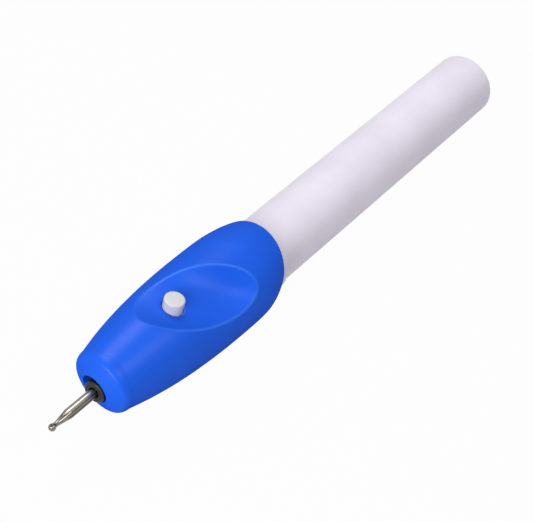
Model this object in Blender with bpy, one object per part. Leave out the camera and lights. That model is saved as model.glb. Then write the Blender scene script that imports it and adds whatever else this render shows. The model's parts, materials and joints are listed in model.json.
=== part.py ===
"""A battery engraving pen: a turned grip, a button, a spinning bit and a screw-off battery tube.

The pen lies along X with its bit at -X and its button on top. Stations are distances from the
bit's tip along the pen, and heights and radii are measured from the pen's own axis. The empty
PenAxis carries the whole pen, so that the origin is the middle of its foot print.
"""
import math

import bmesh
import bpy
import numpy as np
from mathutils import Matrix, Vector

# Facets of the turned pieces, and steps of the curved ones
BIG_FACETS = 48
MID_FACETS = 32
SMALL_FACETS = 20
TINY_FACETS = 12
SHARP_ANGLE = math.radians(32)

# Fits, used wherever two pieces meet
SEAT_GAP = 0.0003
PRESS_GAP = 0.00015
RUNNING_GAP = 0.00025
OVERRUN = 0.002

# Engraving bit
BIT_RADIUS = 0.001175
BALL_RADIUS = 0.00086
NECK_RADIUS = 0.00062
NECK_LENGTH = 0.0011
BIT_TAPER = 0.0034
BIT_REACH = 0.0142
BIT_GRIPPED = 0.0200
BIT_CHAMFER = 0.0003

# Motor spindle and the long chuck on it
SHAFT_RADIUS = 0.0010
CHUCK_WALL = 0.0013
CHUCK_PROUD = 0.0008
CHUCK_ROUND = 0.0007
CHUCK_RING_RADIUS = 0.0019
CHUCK_RING_WIDTH = 0.00022
CHUCK_RING_DEPTH = 0.0002
SHAFT_TAIL_GAP = 0.0007
SHAFT_GRIPPED = 0.0073

# Bush that steadies the chuck behind the nose
BUSH_WALL = 0.0015
BUSH_LENGTH = 0.0084
BUSH_FLANGE = 0.0016
BUSH_FLANGE_THICKNESS = 0.0012
NOSE_WALL = 0.0039
POCKET_TAIL = 0.0030

# Outside of the grip
OPENING_GAP = 0.00035
NOSE_RADIUS = 0.00797
NOSE_CONE = 0.00195
NOSE_CORNER = 0.00255
NOSE_LEAD = 0.00150
NOSE_SIDE_LEAD = 0.00090
NOSE_LEAD_REACH = 0.0110
REAR_LEAD = 0.00240
REAR_SIDE_LEAD = 0.00085
REAR_LEAD_REACH = 0.0060
SHIFT = 0.0005
SHIFT_REACH = 0.0540
REAR_ROUND = 0.0123
FRONT_POWER = 2.53
REAR_POWER = 2.9
CORNER_SHARE = 0.80

# Thumb dish pressed into the grip
DISH_SETBACK = 0.0302
DISH_HALF_LENGTH = 0.0164
DISH_HALF_WIDTH = 0.0081
DISH_DEPTH = 0.0032
DISH_POWER = 3
DISH_TURN = math.radians(16.9)
DISH_SLEW = math.radians(26.2)
DISH_LEAN_SHARE = 0.3
DISH_EGG_SHARE = 0.133
DISH_WALL = 0.00124
DISH_RING_SHARES = (0.30, 0.55, 0.75, 0.90, 1.0, 1.14)
DISH_FACETS = 40

# Push button and the switch under it
BUTTON_SETBACK = 0.0246
BUTTON_RADIUS = 0.0024
BUTTON_STAND = 0.00253
BUTTON_ROUND = 0.00035
BUTTON_TRAVEL = 0.0009
BUTTON_FLANGE = 0.0011
BUTTON_FLANGE_THICKNESS = 0.00065
STEM_RADIUS = 0.0013
PIN_RADIUS = 0.00065
DISC_RADIUS = 0.0020
DISC_THICKNESS = 0.00035
BLADE_THICKNESS = 0.00025
BLADE_WIDTH = 0.0012
BLADE_INNER = 0.0009
BLADE_OUTER = 0.0056
SWITCH_LENGTH = 0.0076
SWITCH_THICKNESS = 0.0006
SWITCH_RING_HEIGHT = 0.0009
SWITCH_RING_WALL = 0.0009
BUTTON_SPRING_WIRE = 0.000175
BUTTON_SPRING_TURNS = 2.5
RAIL_LEDGE = 0.0005
RAIL_THICKNESS = 0.0008

# Motor
MOTOR_RADIUS = 0.0064
MOTOR_LENGTH = 0.0130
MOTOR_WALL = 0.0005
MOTOR_GAP = 0.0009
MOTOR_CAP = 0.0015
CAP_SPIGOT = 0.0010
MAGNET_THICKNESS = 0.0012
MAGNET_LENGTH = 0.0088
MAGNET_ANGLE = math.radians(112)
AIR_GAP = 0.00045
ARMATURE_LENGTH = 0.0070
POLE_COUNT = 3
POLE_ANGLE = math.radians(84)
POLE_TIP = 0.0012
POLE_NECK = 0.0013
HUB_WALL = 0.00065
COIL_THICKNESS = 0.0007
COMMUTATOR_RADIUS = 0.0018
COMMUTATOR_LENGTH = 0.0018
BEARING_RADIUS = 0.0021
BEARING_LENGTH = 0.0015
BEARING_FLANGE = 0.0008
BEARING_FLANGE_THICKNESS = 0.0005
BRUSH_THICKNESS = 0.00025
BRUSH_WIDTH = 0.0016
TERMINAL_OFFSET = 0.0044
TERMINAL_TAIL = 0.0012

# Ribs that hold the motor in the grip
RIB_HEIGHT = 0.0004
RIB_THICKNESS = 0.0012
RIB_ANGLES = (math.radians(-90), math.radians(-30), math.radians(-150), math.radians(90))
STOP_THICKNESS = 0.0013
STOP_DEPTH = 0.0016

# Wires
WIRE_RADIUS = 0.00045
WIRE_GAP = 0.0004
WIRE_STEP = 0.0010

# Contact carrier between the motor and the battery
CARRIER_THICKNESS = 0.0012
CARRIER_FOOT = 0.0019
CARRIER_FOOT_WIDTH = 0.0030
CARRIER_FOOT_DEPTH = 0.0016
WIRE_HOLE = 0.0003
SHEET = 0.0003
CONTACT_RING_WIDTH = 0.0016
CENTRE_CONTACT_RADIUS = 0.0034
CENTRE_CONTACT_BOSS = 0.0015
CENTRE_CONTACT_RISE = 0.0004

# Cells
CELL_RADIUS = 0.0071
CELL_LENGTH = 0.0505
CELL_NUB_RADIUS = 0.00275
CELL_NUB = 0.0010
CELL_ROUND = 0.0005
CELL_GAP = 0.0004

# Battery tube, with its thread, its stop collar, its strip and its spring
TUBE_WALL = 0.0010
TUBE_END = 0.0020
TUBE_END_ROUND = 0.0006
SPIGOT_LENGTH = 0.0055
SOCKET_STEP = 0.0004
COLLAR_COVERED = 0.00315
COLLAR_SHOWN = 0.00295
COLLAR_HEIGHT = 0.00055
COLLAR_CHAMFER = 0.0004
TUBE_SPRING_LENGTH = 0.0082
TUBE_SPRING_WIRE = 0.0004
TUBE_SPRING_TURNS = 4
TUBE_SPRING_FOOT = 0.0056
TUBE_SPRING_HEAD = 0.0024
STRIP_WIDTH = 0.0030
STRIP_THICKNESS = 0.00025
STRIP_FOLD = 0.0036
THREAD_PITCH = 0.0030
THREAD_TURNS = 1
THREAD_HEIGHT = 0.0006
THREAD_BASE = 0.0012
THREAD_TIP = 0.0007
THREAD_LEAD_IN = 0.0009
THREAD_ROOT = 0.0002
THREAD_STEPS = 24
RIM_WALL = 0.00045
COUNTERBORE_GAP = 0.00035

# Stations along the pen, from the bit's tip to the tail
CHUCK_FRONT = BIT_REACH
NOSE = BIT_REACH + CHUCK_PROUD
BIT_TAIL = CHUCK_FRONT + BIT_GRIPPED
SHAFT_FRONT = BIT_TAIL + SHAFT_TAIL_GAP
CHUCK_REAR = SHAFT_FRONT + SHAFT_GRIPPED
BUTTON = NOSE + BUTTON_SETBACK
BUSH_FRONT = NOSE + NOSE_WALL + SEAT_GAP
BUSH_REAR = BUSH_FRONT + BUSH_LENGTH
SWITCH_FRONT = BUTTON - SWITCH_LENGTH / 2
SWITCH_REAR = BUTTON + SWITCH_LENGTH / 2
MOTOR_FRONT = SWITCH_REAR + MOTOR_GAP
MOTOR_REAR = MOTOR_FRONT + MOTOR_LENGTH
CAP_FRONT = MOTOR_REAR + PRESS_GAP
CAP_REAR = CAP_FRONT + MOTOR_CAP
CARRIER_FRONT = CAP_REAR + SEAT_GAP + CARRIER_FOOT
CARRIER_REAR = CARRIER_FRONT + CARRIER_THICKNESS
SOCKET_FLOOR = CARRIER_FRONT - SEAT_GAP
RING_FRONT = CARRIER_REAR + PRESS_GAP
RING_REAR = RING_FRONT + SHEET
TAB_FRONT = RING_REAR + PRESS_GAP
MOUTH = TAB_FRONT + STRIP_THICKNESS + PRESS_GAP
COLLAR_FRONT = MOUTH + SPIGOT_LENGTH
GRIP_REAR = COLLAR_FRONT + COLLAR_COVERED
BELLY = GRIP_REAR - REAR_ROUND
COLLAR_REAR = GRIP_REAR + COLLAR_SHOWN
CELL_FRONT = RING_REAR + CENTRE_CONTACT_RISE + SEAT_GAP
SECOND_CELL = CELL_FRONT + CELL_LENGTH + SEAT_GAP
CELLS_REAR = SECOND_CELL + CELL_LENGTH
TUBE_FLOOR = CELLS_REAR + TUBE_SPRING_LENGTH
TAIL = TUBE_FLOOR + TUBE_END

# Radii, worked outwards from what lies inside
CHUCK_RADIUS = BIT_RADIUS + CHUCK_WALL + PRESS_GAP
OPENING_RADIUS = CHUCK_RADIUS + SHIFT + OPENING_GAP
BUSH_BORE = CHUCK_RADIUS + RUNNING_GAP
BUSH_RADIUS = BUSH_BORE + BUSH_WALL
TUBE_BORE = CELL_RADIUS + CELL_GAP
TUBE_RADIUS = TUBE_BORE + TUBE_WALL
SOCKET_RADIUS = TUBE_RADIUS + SEAT_GAP
COLLAR_RADIUS = TUBE_RADIUS + COLLAR_HEIGHT
COUNTERBORE_RADIUS = max(COLLAR_RADIUS, TUBE_RADIUS + THREAD_HEIGHT) + COUNTERBORE_GAP
CAVITY_RADIUS = max(MOTOR_RADIUS + 2 * WIRE_RADIUS + 2 * WIRE_GAP, TUBE_RADIUS - SOCKET_STEP)
CEILING = MOTOR_RADIUS + SEAT_GAP + RIB_HEIGHT
WIRE_LANE = (MOTOR_RADIUS + CAVITY_RADIUS) / 2
RIM_RADIUS = COUNTERBORE_RADIUS + RIM_WALL


def dish_depth(reach, along):
    """Depth of the dish: reach is 0 at its middle and 1 at its edge, along runs from -1 to 1."""
    return DISH_DEPTH * (1 - reach ** DISH_POWER) * (1 + DISH_LEAN_SHARE * along)


DEEPEST = max(dish_depth(abs(along), along) for along in np.linspace(-1, 1, 81))
BELLY_RADIUS = CEILING + DISH_WALL + DEEPEST
AXIS_HEIGHT = BELLY_RADIUS

# Heights of the switch stack above the pen's axis, from the chuck up to the grip's ceiling
SWITCH_FLOOR = CHUCK_RADIUS + RUNNING_GAP + PRESS_GAP
SWITCH_TOP = SWITCH_FLOOR + SWITCH_THICKNESS
BLADE_FLOOR = SWITCH_TOP + PRESS_GAP
BLADE_TOP = BLADE_FLOOR + BLADE_THICKNESS
DISC_FLOOR = BLADE_TOP + PRESS_GAP + BUTTON_TRAVEL
DISC_TOP = DISC_FLOOR + DISC_THICKNESS
STEM_FLOOR = DISC_TOP + PRESS_GAP
FLANGE_TOP = CEILING - RUNNING_GAP
FLANGE_FLOOR = FLANGE_TOP - BUTTON_FLANGE_THICKNESS
SWITCH_RING_INNER = DISC_RADIUS + 2 * RUNNING_GAP
SWITCH_RING_OUTER = SWITCH_RING_INNER + SWITCH_RING_WALL
SWITCH_RING_TOP = SWITCH_TOP + SWITCH_RING_HEIGHT


def empty(name, location, parent=None):
    """An empty that carries pieces: a joint's place or the pen's own axis."""
    holder = bpy.data.objects.new(name, None)
    bpy.context.scene.collection.objects.link(holder)
    holder.location = location
    holder.parent = parent
    return holder


def material(name, colour, roughness, metallic=0.0):
    """A plain Principled material."""
    made = bpy.data.materials.new(name)
    made.use_nodes = True
    shader = made.node_tree.nodes["Principled BSDF"]
    shader.inputs["Base Color"].default_value = (*colour, 1)
    shader.inputs["Roughness"].default_value = roughness
    shader.inputs["Metallic"].default_value = metallic
    made.diffuse_color = (*colour, 1)
    return made


def place(name, data, look, parent):
    """Link one piece, give it its material and hang it on its parent."""
    piece = bpy.data.objects.new(name, data)
    bpy.context.scene.collection.objects.link(piece)
    piece.parent = parent
    if look is not None:
        piece.data.materials.append(look)
    return piece


def mesh_piece(name, solid, look, parent):
    """Turn a finished bmesh into a piece, shaded smooth up to the sharp angle."""
    bmesh.ops.remove_doubles(solid, verts=solid.verts, dist=1e-7)
    bmesh.ops.recalc_face_normals(solid, faces=solid.faces)
    mesh = bpy.data.meshes.new(name)
    solid.to_mesh(mesh)
    solid.free()
    mesh.shade_smooth()
    mesh.set_sharp_from_angle(angle=SHARP_ANGLE)
    return place(name, mesh, look, parent)


def turned(name, outline, look, parent, facets=MID_FACETS, upright=False, closed=False, edge_down=False):
    """Spin an outline of (along, radius) points about X, or about Z when it is upright.

    A closed outline goes round a bore; an open one starts and ends on the axis. The underside
    is a facet, or the edge between two facets where edge_down says so.
    """
    solid = bmesh.new()
    start = 0 if edge_down else math.pi / facets
    if upright:
        points = [Vector((radius, 0, along)) for along, radius in outline]
        axis = Vector((0, 0, 1))
    else:
        points = [Vector((along, radius * math.cos(start), radius * math.sin(start)))
                  for along, radius in outline]
        axis = Vector((1, 0, 0))
    verts = [solid.verts.new(point) for point in points]
    pairs = list(zip(verts, verts[1:]))
    if closed:
        pairs.append((verts[-1], verts[0]))
    edges = [solid.edges.new(pair) for pair in pairs]
    bmesh.ops.spin(solid, geom=verts + edges, cent=(0, 0, 0), axis=axis,
                   angle=math.tau, steps=facets, use_merge=True)
    return mesh_piece(name, solid, look, parent)


def block(name, low, high, look, parent):
    """A box between two corners."""
    solid = bmesh.new()
    size = Vector(high) - Vector(low)
    middle = (Vector(high) + Vector(low)) / 2
    bmesh.ops.create_cube(solid, size=1, matrix=Matrix.Translation(middle) @ Matrix.Diagonal(size).to_4x4())
    return mesh_piece(name, solid, look, parent)


def prism(name, outline, width, look, parent):
    """An outline of (x, z) points in the pen's upright plane, given a width across it."""
    solid = bmesh.new()
    face = solid.faces.new([solid.verts.new((along, -width / 2, height)) for along, height in outline])
    grown = bmesh.ops.extrude_face_region(solid, geom=[face])
    moved = [item for item in grown["geom"] if isinstance(item, bmesh.types.BMVert)]
    bmesh.ops.translate(solid, verts=moved, vec=(0, width, 0))
    bmesh.ops.triangulate(solid, faces=solid.faces)
    return mesh_piece(name, solid, look, parent)


def strip(name, path, thickness, width, look, parent):
    """Sheet metal bent along a path of (x, z) points."""
    points = [Vector(point) for point in path]
    sides = []
    for index, point in enumerate(points):
        before = (point - points[max(index - 1, 0)]).normalized()
        after = (points[min(index + 1, len(points) - 1)] - point).normalized()
        along = (before + after).normalized()
        across = Vector((-along.y, along.x))
        reach = thickness / 2
        if 0 < index < len(points) - 1:
            reach /= max(across.dot(Vector((-after.y, after.x))), 0.5)
        sides.append((point + across * reach, point - across * reach))
    outline = [first for first, second in sides] + [second for first, second in reversed(sides)]
    return prism(name, outline, width, look, parent)


def cylinder_cutter(name, low, high, radius, parent, facets=MID_FACETS, upright=False):
    """A plain round cutter between two places along its axis."""
    outline = ((low, 0), (low, radius), (high, radius), (high, 0))
    return as_guide(turned(name, outline, None, parent, facets, upright))


def as_guide(piece):
    """Keep a cutter out of the model."""
    piece.hide_render = True
    piece.display_type = "WIRE"
    return piece


def combine(piece, other, operation="DIFFERENCE"):
    """Cut another solid out of a piece, or join it on."""
    boolean = piece.modifiers.new(operation.title(), "BOOLEAN")
    boolean.operation = operation
    boolean.solver = "EXACT"
    boolean.object = other
    return piece


def polar(station, radius, angle):
    """A point on the pen, its angle measured about the axis from +Y towards +Z."""
    return Vector((station, radius * math.cos(angle), radius * math.sin(angle)))


def smooth_route(points, step):
    """Points at even steps along a smooth curve through a route."""
    knots = [points[0]] + list(points) + [points[-1]]
    dense = []
    for index in range(1, len(knots) - 2):
        before, start, end, after = (Vector(knots[index + shift]) for shift in (-1, 0, 1, 2))
        for share in np.linspace(0, 1, 24, endpoint=False):
            square = share * share
            cube = square * share
            dense.append(0.5 * (2 * start + (end - before) * share
                                + (2 * before - 5 * start + 4 * end - after) * square
                                + (3 * start - before - 3 * end + after) * cube))
    dense.append(Vector(points[-1]))
    lengths = np.cumsum([0] + [(b - a).length for a, b in zip(dense, dense[1:])])
    count = max(int(round(lengths[-1] / step)), 2)
    table = np.array(dense)
    places = np.linspace(0, lengths[-1], count + 1)
    return [Vector([np.interp(place_, lengths, table[:, axis]) for axis in range(3)]) for place_ in places]


def tube_along(name, points, radius, look, parent, resolution=2):
    """A round wire along a list of points."""
    curve = bpy.data.curves.new(name, "CURVE")
    curve.dimensions = "3D"
    curve.bevel_depth = radius
    curve.bevel_resolution = resolution
    curve.use_fill_caps = True
    spline = curve.splines.new("POLY")
    spline.points.add(len(points) - 1)
    for spot, point in zip(spline.points, points):
        spot.co = (*point, 1)
    return place(name, curve, look, parent)


def side_radius(station):
    """Outer radius of the grip's side, from behind the nose to the rear rim."""
    start = NOSE + NOSE_CONE + NOSE_CORNER
    if station <= BELLY:
        share = min(max((station - start) / (BELLY - start), 0), 1)
        return BELLY_RADIUS - (BELLY_RADIUS - NOSE_RADIUS) * (1 - share) ** FRONT_POWER
    share = min((station - BELLY) / (GRIP_REAR - BELLY), 1)
    return BELLY_RADIUS - (BELLY_RADIUS - RIM_RADIUS) * share ** REAR_POWER


def grip_outline():
    """The grip's turned outline: face, rounded corner, side, belly and rounded rear."""
    corner = NOSE + NOSE_CONE
    face_width = (NOSE_RADIUS - OPENING_RADIUS) * CORNER_SHARE
    face_end = (corner, OPENING_RADIUS + face_width)
    knee = (corner + NOSE_CORNER * (1 - CORNER_SHARE), NOSE_RADIUS * (1 - (1 - CORNER_SHARE) ** 3))
    side_start = (corner + NOSE_CORNER, NOSE_RADIUS)
    outline = [(NOSE - NOSE_CONE * OPENING_RADIUS / face_width, 0)]
    for share in np.linspace(0, 1, 5):
        first = [a + (b - a) * share for a, b in zip(face_end, knee)]
        second = [a + (b - a) * share for a, b in zip(knee, side_start)]
        outline.append(tuple(a + (b - a) * share for a, b in zip(first, second)))
    for share in np.linspace(0, 1, 11)[1:]:
        station = side_start[0] + (BELLY - side_start[0]) * share
        outline.append((station, side_radius(station)))
    for share in np.linspace(0, 1, 9)[1:]:
        station = BELLY + (GRIP_REAR - BELLY) * math.sin(share * math.pi / 2)
        outline.append((station, side_radius(station)))
    outline.append((GRIP_REAR, 0))
    return outline


def sculpt(point):
    """Move a point of the turned shape: shift the grip's front sideways, and lean its nose and its rear rim.

    The button side ends up the longer one at both ends.
    """
    nose = max(0, 1 - (point.x - NOSE) / NOSE_LEAD_REACH)
    rim = max(0, 1 - (GRIP_REAR - point.x) / REAR_LEAD_REACH)
    front = max(0, 1 - (point.x - NOSE) / SHIFT_REACH)
    lean = REAR_LEAD * rim / RIM_RADIUS - NOSE_LEAD * nose / NOSE_RADIUS
    side_lean = REAR_SIDE_LEAD * rim / RIM_RADIUS + NOSE_SIDE_LEAD * nose / NOSE_RADIUS
    return point + Vector((lean * point.z + side_lean * point.y, SHIFT * front, 0))


def dish_point(reach, turn, extra=0.0):
    """A point of the dish's floor; reach and turn go round its outline, extra lifts the floor."""
    along = reach * math.cos(turn)
    across = reach * math.sin(turn)
    length = DISH_HALF_LENGTH * along
    width = DISH_HALF_WIDTH * across * (1 - DISH_EGG_SHARE * along)
    station = NOSE + DISH_SETBACK + length * math.cos(DISH_SLEW) - width * math.sin(DISH_SLEW)
    arc = length * math.sin(DISH_SLEW) + width * math.cos(DISH_SLEW)
    angle = math.pi / 2 + DISH_TURN + arc / BELLY_RADIUS
    return sculpt(polar(station, side_radius(station) - dish_depth(reach, along) + extra, angle))


def dish_cutter(name, parent, wall=0.0):
    """The solid that presses the dish into the grip, or the same dish thickened by a wall."""
    solid = bmesh.new()
    middle = solid.verts.new(dish_point(0, 0, -wall))
    rings = []
    reaches = list(DISH_RING_SHARES)
    if wall:
        reaches.append(DISH_RING_SHARES[-1] + wall / DISH_HALF_WIDTH)
    for reach in reaches:
        rings.append([solid.verts.new(dish_point(reach, math.tau * step / DISH_FACETS, -wall))
                      for step in range(DISH_FACETS)])
    lid = [solid.verts.new(dish_point(reaches[-1], math.tau * step / DISH_FACETS, OVERRUN + wall))
           for step in range(DISH_FACETS)]
    top = solid.verts.new(dish_point(0, 0, DISH_DEPTH + OVERRUN + wall))
    rings.append(lid)
    for step in range(DISH_FACETS):
        after = (step + 1) % DISH_FACETS
        solid.faces.new((middle, rings[0][step], rings[0][after]))
        solid.faces.new((top, lid[after], lid[step]))
        for inner, outer in zip(rings, rings[1:]):
            solid.faces.new((inner[step], outer[step], outer[after], inner[after]))
    return as_guide(mesh_piece(name, solid, None, parent))


def helix_ridge(name, start, turns, inner, outer, base, tip, parent):
    """A screw ridge of trapezoid section, wound about X like a right-hand thread."""
    solid = bmesh.new()
    count = int(round(THREAD_STEPS * turns))
    section = ((-base / 2, inner), (-tip / 2, outer), (tip / 2, outer), (base / 2, inner))
    rings = []
    for step in range(count + 1):
        turn = math.pi / BIG_FACETS + math.tau * step / THREAD_STEPS
        station = start + THREAD_PITCH * step / THREAD_STEPS
        rings.append([solid.verts.new(polar(station + shift, radius, turn)) for shift, radius in section])
    for first, second in zip(rings, rings[1:]):
        for index in range(4):
            after = (index + 1) % 4
            solid.faces.new((first[index], first[after], second[after], second[index]))
    solid.faces.new(rings[0])
    solid.faces.new(list(reversed(rings[-1])))
    bmesh.ops.triangulate(solid, faces=solid.faces)
    return as_guide(mesh_piece(name, solid, None, parent))


def grip_core(parent):
    """The hollow of the grip: bush seat, D-shaped cavity, socket and counterbore."""
    seat = BUSH_RADIUS + SEAT_GAP
    pocket = BUSH_RADIUS + BUSH_FLANGE + SEAT_GAP
    seat_front = NOSE + NOSE_WALL
    seat_rear = BUSH_REAR - BUSH_FLANGE_THICKNESS - SEAT_GAP
    counterbore = COLLAR_FRONT - SEAT_GAP
    past = GRIP_REAR + REAR_LEAD + REAR_SIDE_LEAD + OVERRUN
    outline = ((seat_front, 0), (seat_front, seat), (seat_rear, seat), (seat_rear, pocket),
               (BUSH_REAR + POCKET_TAIL, pocket), (BUSH_REAR + POCKET_TAIL, CAVITY_RADIUS),
               (SOCKET_FLOOR, CAVITY_RADIUS), (SOCKET_FLOOR, SOCKET_RADIUS),
               (counterbore, SOCKET_RADIUS), (counterbore, COUNTERBORE_RADIUS),
               (past, COUNTERBORE_RADIUS), (past, 0))
    core = as_guide(turned("CutCore", outline, None, parent, BIG_FACETS, edge_down=True))
    above = CAVITY_RADIUS + OVERRUN
    ceiling = block("KeepCeiling", (seat_rear - OVERRUN, -above, CEILING), (SOCKET_FLOOR - SEAT_GAP, above, above),
                    None, parent)
    combine(core, as_guide(ceiling))
    for guide in motor_ribs(parent) + switch_rails(parent):
        combine(core, as_guide(guide))
    return core


def motor_ribs(parent):
    """Four ribs along the motor, the lower three with a stop in front of it."""
    outer = CAVITY_RADIUS + OVERRUN
    inner = MOTOR_RADIUS + SEAT_GAP
    stop_rear = MOTOR_FRONT - SEAT_GAP
    stop_front = stop_rear - STOP_THICKNESS
    stop = MOTOR_RADIUS - STOP_DEPTH
    ribs = []
    for number, angle in enumerate(RIB_ANGLES):
        outline = [(MOTOR_FRONT, inner), (CAP_REAR, inner), (CAP_REAR, outer), (MOTOR_FRONT, outer)]
        if angle < 0:
            outline = [(stop_front, stop), (stop_rear, stop), (stop_rear, inner), (CAP_REAR, inner),
                       (CAP_REAR, outer), (stop_front, outer)]
        ribs.append(prism(f"KeepRib{number}", outline, RIB_THICKNESS, None, parent))
        ribs[-1].rotation_euler.x = angle - math.pi / 2
    return ribs


def switch_half_width():
    """Half the width of the switch base, which reaches the cavity's side walls."""
    return math.sqrt(CAVITY_RADIUS ** 2 - SWITCH_TOP ** 2) - RUNNING_GAP


def switch_rails(parent):
    """Two ledges under the edges of the switch base."""
    top = SWITCH_FLOOR - SEAT_GAP
    inner = switch_half_width() - RAIL_LEDGE
    outer = CAVITY_RADIUS + OVERRUN
    rails = []
    for side in (-1, 1):
        edges = sorted((side * inner, side * outer))
        rails.append(block(f"KeepRail{side}", (SWITCH_FRONT, edges[0], top - RAIL_THICKNESS),
                           (SWITCH_REAR, edges[1], top), None, parent))
    return rails


def make_grip(pen):
    """The blue grip: one moulding with the dish, the button's hole and the screw socket."""
    blue = material("BluePlastic", (0.028, 0.13, 0.78), 0.38)
    grip = turned("grip_housing", grip_outline(), blue, pen, BIG_FACETS, edge_down=True)
    for vert in grip.data.vertices:
        vert.co = sculpt(vert.co)
    core = grip_core(pen)
    wall = dish_cutter("KeepDishWall", pen, DISH_WALL)
    room = cylinder_cutter("CutFlangeRoom", FLANGE_FLOOR - OVERRUN, CEILING + OVERRUN,
                           BUTTON_RADIUS + BUTTON_FLANGE + RUNNING_GAP, pen, MID_FACETS, upright=True)
    room.location.x = BUTTON
    combine(wall, room)
    combine(core, wall)
    combine(grip, core)
    opening = cylinder_cutter("CutOpening", NOSE - NOSE_LEAD - OVERRUN, BUSH_FRONT, OPENING_RADIUS, pen)
    opening.location.y = SHIFT
    combine(grip, opening)
    combine(grip, dish_cutter("CutDish", pen))
    hole = cylinder_cutter("CutButton", 0, BELLY_RADIUS + OVERRUN, BUTTON_RADIUS + RUNNING_GAP,
                           pen, MID_FACETS, upright=True)
    hole.location = (BUTTON, 0, CEILING - OVERRUN)
    combine(grip, hole)
    groove_start = thread_start() - THREAD_PITCH / 4
    groove_turns = math.ceil((COLLAR_FRONT - groove_start) / THREAD_PITCH) + 0.25
    groove = helix_ridge("CutGroove", groove_start, groove_turns, SOCKET_RADIUS - SEAT_GAP,
                         TUBE_RADIUS + THREAD_HEIGHT + SEAT_GAP, THREAD_BASE + 2 * SEAT_GAP,
                         THREAD_TIP + 2 * SEAT_GAP, pen)
    groove.rotation_euler.x = -math.pi / 2
    combine(grip, groove)
    return grip


def thread_start():
    """Station of the first point of the tube's screw ridge."""
    return MOUTH + THREAD_LEAD_IN + THREAD_BASE / 2


def make_bush(pen):
    """The bronze bush that steadies the chuck."""
    bronze = material("SinteredBronze", (0.55, 0.38, 0.20), 0.45, 0.9)
    shoulder = BUSH_REAR - BUSH_FLANGE_THICKNESS
    outline = ((BUSH_FRONT, BUSH_BORE), (BUSH_FRONT, BUSH_RADIUS), (shoulder, BUSH_RADIUS),
               (shoulder, BUSH_RADIUS + BUSH_FLANGE), (BUSH_REAR, BUSH_RADIUS + BUSH_FLANGE),
               (BUSH_REAR, BUSH_BORE))
    return turned("nose_bush", outline, bronze, pen, MID_FACETS, closed=True)


def make_bit(pen):
    """The steel bit: a ball, a thin neck, a taper and a straight shank."""
    steel = material("BitSteel", (0.62, 0.60, 0.58), 0.18, 1.0)
    outline = []
    last = math.pi - math.asin(NECK_RADIUS / BALL_RADIUS)
    for share in np.linspace(0, 1, 8):
        turn = last * share
        outline.append((BALL_RADIUS * (1 - math.cos(turn)), BALL_RADIUS * math.sin(turn)))
    neck = outline[-1][0] + NECK_LENGTH
    outline += [(neck, NECK_RADIUS), (neck + BIT_TAPER, BIT_RADIUS), (BIT_TAIL - BIT_CHAMFER, BIT_RADIUS),
                (BIT_TAIL, BIT_RADIUS - BIT_CHAMFER), (BIT_TAIL, 0)]
    return turned("engraving_bit", outline, steel, pen, SMALL_FACETS)


def make_spindle(pen):
    """What spins: the motor's shaft, the black chuck, and the armature with its windings."""
    black = material("ChuckBlack", (0.035, 0.033, 0.038), 0.42)
    ring_in = CHUCK_RING_RADIUS - CHUCK_RING_WIDTH / 2
    ring_out = CHUCK_RING_RADIUS + CHUCK_RING_WIDTH / 2
    front = CHUCK_FRONT
    bit_bore = BIT_RADIUS + PRESS_GAP
    shaft_bore = SHAFT_RADIUS + PRESS_GAP
    step = SHAFT_FRONT - SHAFT_TAIL_GAP / 2
    outline = [(front, bit_bore), (front, ring_in), (front + CHUCK_RING_DEPTH, ring_in),
               (front + CHUCK_RING_DEPTH, ring_out), (front, ring_out)]
    for share in np.linspace(0, 1, 4):
        turn = share * math.pi / 2
        outline.append((front + CHUCK_ROUND * (1 - math.cos(turn)),
                        CHUCK_RADIUS - CHUCK_ROUND * (1 - math.sin(turn))))
    outline += [(CHUCK_REAR, CHUCK_RADIUS), (CHUCK_REAR, shaft_bore), (step, shaft_bore), (step, bit_bore)]
    turned("bit_chuck", outline, black, pen, SMALL_FACETS, closed=True)
    steel = material("ShaftSteel", (0.55, 0.55, 0.56), 0.25, 1.0)
    shaft = ((SHAFT_FRONT, 0), (SHAFT_FRONT, SHAFT_RADIUS), (CAP_REAR, SHAFT_RADIUS), (CAP_REAR, 0))
    turned("motor_shaft", shaft, steel, pen, TINY_FACETS)
    make_armature(pen)


def armature_front():
    """Station where the armature's iron starts, just behind the front bearing."""
    return MOTOR_FRONT + MOTOR_WALL + BEARING_FLANGE_THICKNESS + COIL_THICKNESS + 2 * RUNNING_GAP


def rotor_radius():
    """Outer radius of the armature's poles, inside the magnets."""
    return MOTOR_RADIUS - MOTOR_WALL - PRESS_GAP - MAGNET_THICKNESS - AIR_GAP


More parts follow.
